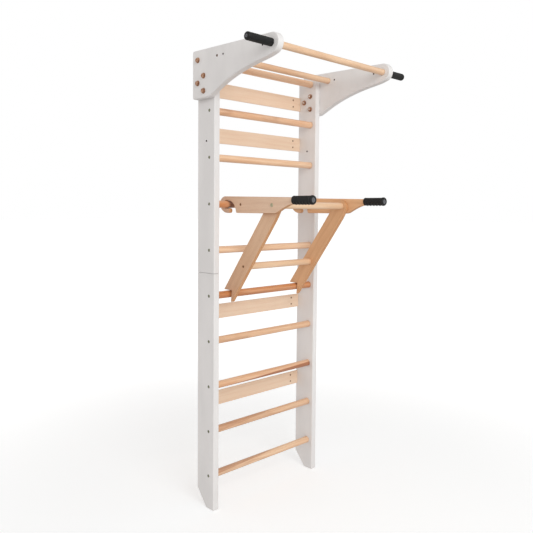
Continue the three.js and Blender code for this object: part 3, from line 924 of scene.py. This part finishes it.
# tone, streak, painted light, painted shadow; then, where there is heartwood: heart, side, from,
# slope
RUNG_LOOKS = [
    (0.15, 0.05, 1.1, 0.0),
    (0.25, 0.25, 0.7, 0.0, 0.25, 1.0, 0.55, 1.6),
    (0.0, 0.12, 0.30, 0.0),
    (1.0, 0.10, 0.3, 0.9),
    (0.0, 0.12, 0.7, 0.0),
    (1.3, 0.25, 0.1, 0.45, 0.35, -1.0, 0.1, -0.5),
    (0.25, 0.20, 0.0, 0.0),
    (0.40, 0.30, 0.3, 0.0, 1.0, -1.0, 0.22, -2.4),
    (0.20, 0.20, 0.0, 0.0, 0.42, 1.0, 0.85, 4.2),
    (0.0, 0.20, 0.20, 0.0, 0.55, 1.0, 0.95, 2.8),
]
for i, row in enumerate(RUNG_LOOKS, 1):
    bar(f"rung_{i:02d}", UPRIGHT_IN + RUNG_POCKET - GAP, RUNG_R, RUNG_Y, rung_z(i),
        "beech_rung", LADDER, i * 1.37, **dict(zip(list(PLAIN_LOOK)[1:], row)))
bar("pull_up_bar", BAR_HALF, BAR_R, NOSE_Y, NOSE_Z, "beech_bar", LADDER, 21.3,
    streak=0.10, lift=0.25)
bar("rear_bar", BAR_HALF, BAR_R, REAR_Y, REAR_Z, "beech_bar", LADDER, 24.9,
    tone=0.30, streak=0.10, lift=0.15)


# ------------------------------------------------------------------ wall slats
def slat_screw_heights(bottom, top):
    return (("upper", top - 16.0), ("lower", bottom + 18.0))


def wall_slat(number, bottom, top, tone):
    half = UPRIGHT_IN + 12.0
    points = rounded([(-half, bottom), (half, bottom), (half, top), (-half, top)], 1.2, 3)
    profile = [(SLAT_T, 4.9), (7.6, 4.5), (5.2, 2.6), (0.3, 2.6), (0.0, 2.9)]
    holes = [(x, z, profile) for x in (-SLAT_SCREW_X, SLAT_SCREW_X)
             for _, z in slat_screw_heights(bottom, top)]
    ob = plate(f"wall_slat_{number}_look", points, 0.0, SLAT_T, "pale_slat",
               radius=0.9, seg=3, holes=holes, place=along_y)
    register(ob, LADDER, "pale_slat", seed=3.1 + (number - 1) * 2.3, tone=tone)


for i, (slat, tone) in enumerate(zip(SLATS, (0.0, 0.75, 0.7, 0.75)), 1):
    wall_slat(i, *slat, tone)

# ------------------------------------------------------------------ brackets
NOSE_ARC = arc(NOSE_Y, NOSE_Z, NOSE_R, 91.3, 250, 60)
# (Y, Z): top rear corner, nose, underside from the nose back to the wall, bottom rear corner
BRACKET = outline(
    arc(-9, 1991, 9, 0, 88.7, 10),
    NOSE_ARC,
    curve([NOSE_ARC[-1], (-470, 1904.0), (-437, 1898.1), (-396, 1891.6), (-352, 1883.4),
           (-312, 1874.3), (-276, 1864.4), (-240, 1853.0), (-212, 1842.6), (-190, 1833.8),
           (-172, 1825.8), (-157, 1818.7), (-143, 1811.9), (-131, 1806.0), (-120, 1800.7),
           (-112, 1797.3), (-106, 1795.5), (-99, 1795)]),
    arc(-9, 1804, 9, 270, 360, 10))


def bracket(side):
    inner, outer = BRACKET_IN, BRACKET_OUT
    bolt_hole = [(outer, 6.0), (outer - 0.6, BOLT_BORE_R), (inner + 0.4, BOLT_BORE_R),
                 (inner, 5.8)]
    spare_hole = [(outer, 4.3), (outer - 0.6, 3.7), (inner + 0.6, 3.7), (inner, 4.3)]
    # the bars sit in pockets on the inner face
    pocket = [(inner + 8, 14.4), (inner + 0.6, 14.4), (inner, 15.0)]
    nose_hole = [(outer, 13.0), (outer - 0.6, 12.4), (outer - 8, 12.4), (outer - 8, 4.4),
                 (inner + 8, 4.4), *pocket]
    rear_hole = [(outer, 6.1), (outer - 0.7, 5.4), (outer - 6, 5.4), (outer - 6, 3.4),
                 (inner + 8, 3.4), *pocket]
    holes = [(y, z, bolt_hole) for y, z in BOLTS]
    holes += [(y, z, spare_hole) for y, z in SPARE_HOLES]
    holes += [(NOSE_Y, NOSE_Z, nose_hole), (REAR_Y, REAR_Z, rear_hole)]
    ob = plate(f"{side}_bracket_look", BRACKET, inner, outer, "white_board",
               radius=4.5, seg=7, holes=holes, side=side)
    # the marked bore walls show bare board darkened as painted shade
    bores = [in_bore(y, z, 4.2, inner + 0.1, outer - 0.1) for y, z in SPARE_HOLES]
    bores.append(in_bore(REAR_Y, REAR_Z, 5.6, inner + 8.2, outer - 0.8))
    mark(ob, lambda *point: any(bore(*point) for bore in bores))
    register(ob, LADDER, "white_board")


for side, _ in SIDES:
    bracket(side)


# ------------------------------------------------------------------ bolts and screws
def hex_prism(x, y, z, height, bore=0.0, dish=0.0):
    """A bolt head or, with a bore, a nut, along +X with its far corners turned off"""
    flat = BOLT_HEX / 2 * 0.94
    slope = math.tan(math.radians(30))

    def chamfer(angle):
        r = hexagon(BOLT_HEX, angle)
        return height - max(0.0, (r - flat) * slope), r

    rings = [hex_ring(0.0, BOLT_HEX), chamfer, (height, flat)]
    if bore:
        rings = [(0.0, bore), *rings, (height, bore + 0.7), (height - 0.7, bore), (0.0, bore)]
    else:
        rings += [(height, flat * 0.80), (height - dish, flat * 0.68)]
    return stacked(rings, (x, y, z), 72, capped=not bore)


def turned_about(shape, centre_y, centre_z, turn):
    cos, sin = math.cos(turn), math.sin(turn)
    points = []
    for x, y, z in shape[0]:
        y, z = y - centre_y, z - centre_z
        points.append((x, centre_y + y * cos - z * sin, centre_z + y * sin + z * cos))
    return points, shape[1]


def bracket_bolt(y, z, turn):
    """Head outside, nut inside"""
    outer, inner = BRACKET_OUT, UPRIGHT_IN
    profile = [(0.15, 0), (0.15, 11.4), (0.55, 11.9), (1.5, 11.9), (WASHER_T, 11.4),
               (WASHER_T, 0)]
    washers = [lathe(profile, (outer, y, z), seg=56),
               lathe(profile, (inner, y, z), direction=-1, seg=56)]
    head = hex_prism(outer + WASHER_T, y, z, height=6.6, dish=0.35)
    nut = flip_x(hex_prism(-(inner - WASHER_T), y, z, height=7.0, bore=5.0))
    # rod with its thread showing past the nut
    profile = [(0, 0), (0, 3.6), (1.0, 4.7)]
    for i in range(8):
        s = 1.0 + 1.5 * i
        profile += [(s + 0.45, 4.95), (s + 0.75, 4.95), (s + 1.2, 4.35)]
    profile += [(13.2, 4.95), (78.0, 4.95), (78.0, 0)]
    rod = lathe(profile, (inner - 11.6, y, z), seg=32)
    return merged(*washers, rod, *(turned_about(part, y, z, turn) for part in (head, nut)))


for side, _ in SIDES:
    for i, (y, z) in enumerate(BOLTS):
        # each bolt stops at another angle
        shape = bracket_bolt(y, z, 0.35 + 0.9 * i + (0.5 if side == "left" else 0.0))
        ob = build(f"{side}_bracket_bolt_{i + 1}_look", on_side(side, shape), "bronzed_bolt",
                   sharp=28.0)
        mark(ob, in_bore(y, z, 4.97, 0.0, UPRIGHT_IN - 1))
        register(ob, LADDER, "bronzed_bolt")

for side, _ in SIDES:
    for i in range(1, 11):
        shape = screw(UPRIGHT_OUT, RUNG_Y, rung_z(i), head=6.0, depth=3.0, length=58.0,
                      shank=2.6, proud=-0.55)
        ob = build(f"{side}_rung_screw_{i:02d}", on_side(side, shape), "zinc_screw", sharp=30.0)
        register(ob, LADDER, "steel_screw")

for i, slat in enumerate(SLATS, 1):
    for side, sign in SIDES:
        for row, height in slat_screw_heights(*slat):
            points, faces = screw(0.0, 0.0, 0.0, head=4.4, depth=2.4, length=7.6, shank=2.2,
                                  proud=-0.25)
            # the head, drawn towards +X, faces -Y
            points = [(sign * SLAT_SCREW_X + y, -SLAT_T - x, height + z) for x, y, z in points]
            ob = build(f"slat_{i}_screw_{side}_{row}", (points, faces), "dark_screw", sharp=30.0)
            register(ob, LADDER, "dark_screw")

for side, _ in SIDES:
    shape = screw(BRACKET_OUT - 2.0, REAR_Y, REAR_Z, head=5.0, depth=3.2, length=62.0, shank=3.0)
    ob = build(f"{side}_rear_bar_screw_look", on_side(side, shape), "dark_screw", sharp=30.0)
    register(ob, LADDER, "dark_screw")


# ------------------------------------------------------------------ rubber grips
def ring_profile(radius, rows):
    """Rows of (along, change of the radius) to (along, radius)"""
    return [(s, radius + change) for s, change in rows]


def side_grip(sign):
    """A straight sleeve with lengthwise ribs, a rolled rim at the mouth and a closed end"""
    radius = SIDE_GRIP_R
    profile = [(121.4, 0), (121.4, 12.6), (0.0, 12.6)]
    profile += ring_profile(radius, [
        (0.0, -1.4), (0.3, -0.4), (1.0, 0.2), (2.2, 0.4), (3.6, 0.4), (4.6, 0.15), (5.2, -0.35),
        (6.0, -0.45)])
    profile += [(7.0 + 2.5 * i, radius) for i in range(41)]
    profile += ring_profile(radius, [
        (109.0, 0), (110.0, -0.15), (110.8, -0.6), (111.8, -0.6), (112.6, -0.1), (114.0, 0.15),
        (117.0, 0.2), (120.0, 0.1), (122.2, -0.5), (124.0, -1.7), (125.2, -3.4), (125.8, -5.4),
        (126.0, -7.6), (125.8, -8.8), (125.2, -9.4), (124.9, -10.4)])
    profile += [(124.9, 1.8), (124.4, 1.3), (122.5, 1.1), (122.5, 0)]

    def ribbed(s, r, angle):
        if s < 6.5 or s > 109.5 or r < 13:
            return r
        ends = min(1.0, (s - 6.5) / 3.0, (109.5 - s) / 3.0)
        rib = min(1.0, max(0.0, 0.6 + 1.2 * math.cos(28 * angle)))
        return r + ends * 0.42 * rib - 0.30 * ends

    return lathe(profile, (sign * (BRACKET_OUT + GAP), NOSE_Y, NOSE_Z), direction=sign,
                 seg=168, radius=ribbed)


def dip_grip(sign):
    """A thicker sleeve: finger ridges underneath, short pads round the rest, a swollen end
    with a dished centre"""
    radius = DIP_GRIP_R
    profile = [(99.4, 0), (99.4, 14.6), (0.0, 14.6)]
    profile += ring_profile(radius, [
        (0.0, -1.6), (0.35, -0.6), (1.0, 0.1), (2.0, 0.35), (3.4, 0.35), (4.4, 0.1), (5.0, -0.4),
        (5.8, -0.5)])
    profile += [(6.6 + 0.6 * i, radius) for i in range(139)]
    profile += ring_profile(radius, [
        (90.0, -0.3), (90.8, -0.45), (91.6, -0.2), (92.6, 0.4), (93.8, 1.0), (95.4, 1.4),
        (97.4, 1.5), (99.6, 1.4), (101.6, 1.0), (103.4, 0.1), (104.8, -1.3), (105.7, -3.2),
        (106.0, -4.8), (105.7, -6.0), (104.8, -6.8), (103.6, -7.3), (102.9, -8.3),
        (102.6, -10.5), (102.5, -13.0)])
    profile += [(102.5, 1.8), (102.0, 1.3), (100.5, 1.1), (100.5, 0)]

    def gripped(s, r, angle):
        if s < 6.5 or s > 89.7 or r < radius - 1e-6:
            return r
        # angle from straight down, and how far the underside's shape rules there
        away = abs((angle + math.pi / 2 + math.pi) % (2 * math.pi) - math.pi)
        under = 1.0 - min(1.0, max(0.0, (away - 0.85) / 0.5))
        under = under * under * (3 - 2 * under)
        ends = min(1.0, (s - 6.5) / 3.0, (89.7 - s) / 3.0)
        # five finger ridges, narrow crests and wide hollows
        crest = 0.5 + 0.5 * math.cos(2 * math.pi * (s - 14.0) / 16.6)
        finger = (crest ** 1.6) * 3.3 - 1.6
        # short pads between rings and lengthwise gaps, with a smooth line along each side
        ringed = min(1.0, max(0.0, 0.5 + 1.5 * math.cos(2 * math.pi * s / 4.74)))
        gaps = min(1.0, max(0.0, 0.75 + 1.3 * math.cos(14 * angle)))
        pad = 0.62 * ringed * gaps - 0.50 if abs(away - 1.42) > 0.06 else 0.0
        return r + ends * (under * finger + (1 - under) * pad)

    return lathe(profile, (sign * ARM_MID, ARM_NOSE - GAP, HANDLE_Z), axis="Y", direction=-1,
                 seg=140, radius=gripped)


for side, sign in SIDES:
    ob = build(f"{side}_side_grip_look", side_grip(sign), "grip_rubber", sharp=50.0)
    # the grip end centres are marked for the rubber's painted highlight
    mark(ob, in_bore(NOSE_Y, NOSE_Z, 6.4, BRACKET_OUT + GAP + 124))
    register(ob, LADDER, "grip_rubber")
    ob = build(f"{side}_dip_grip_look", dip_grip(sign), "grip_rubber", sharp=50.0)
    mark(ob, lambda x, y, z: (y < ARM_NOSE - 102.2
                              and math.hypot(abs(x) - ARM_MID, z - HANDLE_Z) < 9.6))
    register(ob, DIP, "grip_rubber")

# ------------------------------------------------------------------ dip station
# (Y, Z): handle core, underside of the nose, rear end up to the hook, hook pocket round the
# rung, hook and top
ARM = outline(
    [(ARM_NOSE, 1374.0), (ARM_NOSE, HANDLE_Z + 11), (ARM_NOSE - 96, HANDLE_Z + 11),
     (ARM_NOSE - 100, HANDLE_Z + 7), (ARM_NOSE - 100, HANDLE_Z - 7),
     (ARM_NOSE - 96, HANDLE_Z - 11), (ARM_NOSE, HANDLE_Z - 11)],
    curve([(ARM_NOSE, 1346), (-466, 1342.6), (-452, 1337.6), (-438, 1331.8), (-426, 1326.4),
           (-414, 1320.4), (-405, 1315.6), (-397, 1311.6), (-388, 1309.2), (-378, 1308.5)]),
    curve([(-149.5, 1308.5), (-145, 1310), (-142.5, 1314), (-140.6, 1323), (-137, 1332.5),
           (-131.5, 1341.5), (-124, 1349.5), (-115.5, 1355.8), (-107, 1359.6), (-97, 1361.8),
           (-87, 1362.6)]),
    arc(RUNG_Y, rung_z(4), 16.7, 96, -96, 44),
    curve([(-88, 1329.2), (-94, 1328.8), (-99, 1326.2), (-101.4, 1321.5), (-101.6, 1316),
           (-99.6, 1311.4), (-95.4, 1308.8), (-89, 1308), (-72, 1309.2), (-60, 1313.6),
           (-48, 1321.4), (-39.5, 1331), (-34.5, 1343), (-34.5, 1354), (-39, 1365),
           (-47, 1373.6), (-57, 1379), (RUNG_Y + 10, 1381.0)]))
ARM = rounded(ARM, lambda p: 1.0 if p[0] < -475 else 3.0, 5)

# the strut's own directions: down along it, and across it to its lower front edge
DOWN = (math.sin(LEAN), -math.cos(LEAN))
FORE = (DOWN[1], -DOWN[0])
# the notch rests on rung 6
RUNG_TOP = rung_z(6) + RUNG_R
NOTCH_Z, NOTCH_BACK_Z, NOTCH_Y = RUNG_TOP + 0.9, RUNG_TOP + 2.3, RUNG_Y - RUNG_R - 2.3
TIP_Y, TIP_Z = -90.6, 912.0


def on_strut(across, down):
    return (PIVOT_Y + DOWN[0] * down + FORE[0] * across,
            PIVOT_Z + DOWN[1] * down + FORE[1] * across)


def on_strut_at(across, z):
    """The point of a line along the strut at height z"""
    return on_strut(across, (z - PIVOT_Z - FORE[1] * across) / DOWN[1])


def strut_outline():
    head = math.degrees(math.atan2(FORE[1], FORE[0]))
    points = outline(
        arc(*on_strut(0, HEAD_DROP), HEAD_R, head - FLARE, head - 180 + FLARE, 40),
        [on_strut(-STRUT_R, 50), on_strut_at(-STRUT_R, NOTCH_BACK_Z), (NOTCH_Y, NOTCH_Z),
         (TIP_Y, TIP_Z), on_strut_at(STRUT_R, TIP_Z), on_strut(STRUT_R, 50)])
    return rounded(points, lambda p: 2.0 if p[1] < 1000 else 40.0, 6, 4.0)


STRUT = strut_outline()


def dip_panel(piece, side, points, inner, radius, cross, pivot_mouth):
    """An arm or a strut; pivot_mouth is the depth and radius of the pivot hole's outer bevel"""
    outer = inner + ARM_T
    bevel, mouth = pivot_mouth
    holes = [
        (PIVOT_Y, PIVOT_Z, [(outer, mouth), (outer - bevel, 4.4), (inner + 0.3, 4.4),
                            (inner, 4.7)]),
        (*cross, [(outer, 5.9), (outer - 0.5, 5.4), (outer - 2.6, 5.4), (outer - 2.6, 2.9),
                  (inner + 0.3, 2.9), (inner, 3.2)])]
    return plate(f"{side}_dip_{piece}_look", points, inner, outer, "plywood_" + piece,
                 radius=radius, holes=holes, side=side)


def in_hook(x, y, z):
    return (ARM_X + 0.3 < abs(x) < ARM_X + ARM_T - 0.3 and -146 < y < -60 and z > 1326
            and math.hypot(y - RUNG_Y, z - rung_z(4)) < 26)


# tone on the right-hand arm and strut is painted shade of light bounced between the panels
PANEL_LOOKS = {
    "left": (dict(seed=5.3), dict(seed=12.7, tone=0.35, streak=0.35)),
    "right": (dict(seed=8.9, tone=0.9), dict(seed=15.1, tone=0.9, streak=0.4)),
}
for side, (arm_look, strut_look) in PANEL_LOOKS.items():
    ob = dip_panel("arm", side, ARM, ARM_X, lambda p: 1.2 if p[0] < ARM_NOSE + 3 else 3.0,
                   REAR_CROSS, pivot_mouth=(0.5, 4.9))
    # the wall of the hook pocket is painted dark, as shade
    mark(ob, in_hook)
    register(ob, DIP, "plywood", **arm_look)
    ob = dip_panel("strut", side, STRUT, STRUT_X, 2.6, LOW_CROSS, pivot_mouth=(0.3, 4.7))
    register(ob, DIP, "plywood", **strut_look)

# place, inner face it reaches, centre, seed, tone, streak
for place, reach, centre, seed, tone, streak in (
        ("front", STRUT_X, (PIVOT_Y, PIVOT_Z), 31.7, 0.0, 0.10),
        ("rear", ARM_X, REAR_CROSS, 34.1, 0.1, 0.15),
        ("lower", STRUT_X, LOW_CROSS, 37.9, 0.05, 0.15)):
    bar(f"dip_{place}_cross_bar", reach - GAP, CROSS_R, *centre, "beech_cross_bar", DIP, seed,
        tone=tone, streak=streak)


def pivot_bolt():
    """A low domed head with a hexagon socket"""
    return stacked([
        hex_ring(0.7, 5.0, 0.97), hex_ring(2.75, 5.0), hex_ring(2.95, 5.0, 1.08),
        (2.95, 4.4), (2.75, 5.8), (2.3, 6.9), (1.5, 7.7), (0.7, 8.0), (0.35, 7.9), (0.3, 3.9),
        (-56.0, 3.9), (-57.0, 3.2)], (ARM_X + ARM_T, PIVOT_Y, PIVOT_Z), 48, forward=False)


for side, _ in SIDES:
    ob = build(f"{side}_dip_pivot_bolt_look", on_side(side, pivot_bolt()), "pivot_bolt",
               sharp=32.0)
    register(ob, DIP, "pivot_bolt")
    for piece, inner, cross in (("arm", ARM_X, REAR_CROSS), ("strut", STRUT_X, LOW_CROSS)):
        shape = screw(inner + ARM_T, *cross, head=5.0, depth=2.2, length=54.0, shank=2.5,
                      proud=-0.25)
        ob = build(f"{side}_dip_{piece}_screw_look", on_side(side, shape), "dark_screw",
                   sharp=30.0)
        register(ob, DIP, "dark_screw")

# ------------------------------------------------------------------ CAD pieces kept as they are
for name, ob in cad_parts.items():
    if ob.hide_render:
        continue
    ob.data.materials.clear()
    ob.data.materials.append(
        MATERIALS["steel_screw" if "dowel_screw" in name else "beech_dowel"])
    ob["seed"] = 0.7
    for key in ("tone", "streak", "lift", "painted_shadow", "heart"):
        ob[key] = 0.0


# ------------------------------------------------------------------ studio (metres)
def add_object(name, data):
    ob = bpy.data.objects.new(name, data)
    bpy.context.scene.collection.objects.link(ob)
    return ob


def add_floor():
    half = 60.0
    mesh = bpy.data.meshes.new("floor")
    mesh.from_pydata([(-half, -half, 0), (half, -half, 0), (half, half, 0), (-half, half, 0)],
                     [], [(0, 1, 2, 3)])
    floor = add_object("floor", mesh)
    floor.location.z = -0.0005
    tree = Surface("floor")
    camera_ray = tree.camera_ray()
    # melts into the backdrop far away and keeps its soft contact shadows near the feet
    away = tree.node("ShaderNodeVectorMath", {0: tree.coords()}, 1, operation="LENGTH")
    away = tree.ramp(away, over=(0.9, 3.2), to=(0.22, 0.44))
    tree.finish(tree.mix((0.72, 0.71, 0.705), (0.90, 0.90, 0.90), camera_ray), 0.9,
                Specular_IOR_Level=0.0, Emission_Color=(1, 1, 1),
                Emission_Strength=tree.plus(tree.times(camera_ray, away), 0.07))
    mesh.materials.append(tree.material)


def add_world():
    """White to the camera; its light is brightest near the horizon, as with large soft boxes"""
    world = bpy.data.worlds.new("studio")
    bpy.context.scene.world = world
    tree = Nodes(world, "ShaderNodeOutputWorld")
    up = tree.split(tree.coords("Generated"))[2]
    seen = tree.node("ShaderNodeBackground", {"Color": (1, 1, 1), "Strength": 1.0})
    light = tree.node("ShaderNodeBackground", {
        "Color": (1.0, 0.988, 0.980),
        "Strength": tree.ramp(up, over=(0.05, 0.95), to=(1.01, 0.45))})
    tree.put(tree.output.inputs[0], tree.node(
        "ShaderNodeMixShader", {0: tree.camera_ray(), 1: light, 2: seen}))


def aim(light, back):
    """Turns a light to shine against the direction `back`"""
    light.rotation_mode = "QUATERNION"
    light.rotation_quaternion = back.to_track_quat("Z", "Y")


def add_lights():
    key = bpy.data.lights.new("key", "SUN")
    key.energy = 0.58
    key.angle = math.radians(38)
    key.color = (0.935, 0.985, 1.0)
    aim(add_object("key", key), Vector((-0.30, -0.93, 0.22)))
    # a large soft box above and in front, so the light falls off gently towards the feet
    box = bpy.data.lights.new("soft box", "AREA")
    box.shape = "RECTANGLE"
    box.size = 2.4
    box.size_y = 1.6
    box.energy = 36.0
    box.color = (0.93, 0.99, 1.0)
    soft = add_object("soft box", box)
    soft.location = (-1.05, -3.3, 2.9)
    aim(soft, soft.location - Vector((0.0, 0.1, 1.35)))


def add_camera():
    # radians; yaw turns from +Y towards +X, pitch looks down
    yaw, pitch, roll = 0.7631283675823, 0.05632295814444, 0.00797379081045
    forward = Vector((math.sin(yaw) * math.cos(pitch), math.cos(yaw) * math.cos(pitch),
                      -math.sin(pitch)))
    level = Vector((math.cos(yaw), -math.sin(yaw), 0.0))
    above = level.cross(forward)
    right = level * math.cos(roll) + above * math.sin(roll)
    up = above * math.cos(roll) - level * math.sin(roll)
    data = bpy.data.cameras.new("camera")
    camera = add_object("camera", data)
    data.sensor_fit = "HORIZONTAL"
    data.sensor_width = 36.0
    data.lens = 41.2337670346
    data.shift_y = -0.0436816344053
    data.clip_start = 0.05
    data.clip_end = 200.0
    matrix = Matrix((right, up, -forward)).transposed().to_4x4()
    matrix.translation = Vector((-1.976801457373, -2.154976385487 + WALL_Y / 1000.0,
                                 1.327324385269))
    camera.matrix_world = matrix
    bpy.context.scene.camera = camera


add_floor()
add_world()
add_lights()
add_camera()
bpy.context.scene.view_settings.view_transform = "Standard"
bpy.context.scene.view_settings.look = "None"

bpy.context.view_layer.update()
